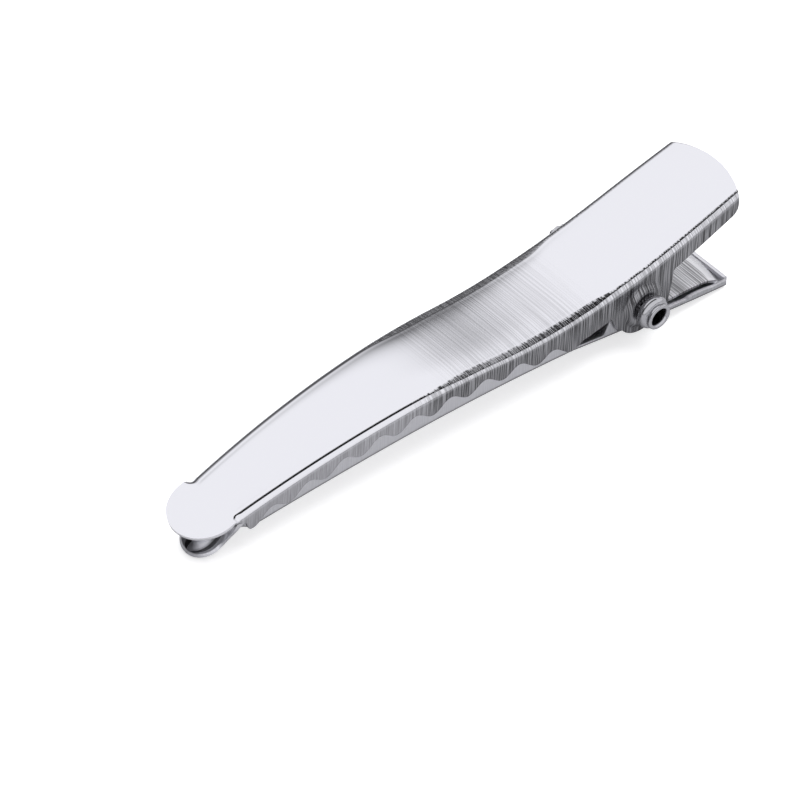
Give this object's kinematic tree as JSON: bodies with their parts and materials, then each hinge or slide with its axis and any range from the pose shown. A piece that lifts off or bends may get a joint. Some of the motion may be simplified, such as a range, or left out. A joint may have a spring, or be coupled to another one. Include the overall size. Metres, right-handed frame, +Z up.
{
  "type": "alligator hair clip",
  "caption": "Nested stamped-steel jaws with rounded teeth, hinged on a tubular rivet and held shut by a leaf spring; squeezing the handles opens them.",
  "frame": {"origin": "centre of the bounding box on the table that the closed clip lies on", "axes": "+X along the clip from the tip to the handles, +Y along the pivot pin, +Z up from the table"},
  "size_m": [0.0761, 0.0167, 0.014],
  "materials": {
    "upper_steel": "bright nickel plate on sheet steel, smooth on the top plate with fine lines across the bends",
    "lower_steel": "bright nickel plate on sheet steel with forming marks",
    "rivet_steel": "bright nickel plate, turned and rolled, with a dark bore",
    "spring_steel": "brushed across its width, bright on its cut edge"
  },
  "bodies": {
    "lower_lever": {"lower_jaw": "lower_steel", "spring": "spring_steel"},
    "upper_lever": {"upper_jaw": "upper_steel", "pivot_pin": "rivet_steel"}
  },
  "joints": [
    {"name": "jaw_pivot", "type": "hinge", "parent": "lower_lever", "child": "upper_lever", "pos_m": [0.02277, 0, 0.00576], "axis": [0, 1, 0], "range_deg": [0, 30], "stiffness_Nm_per_rad": 0.12, "springref_deg": -34.38, "deforming": ["spring"]}
  ]
}
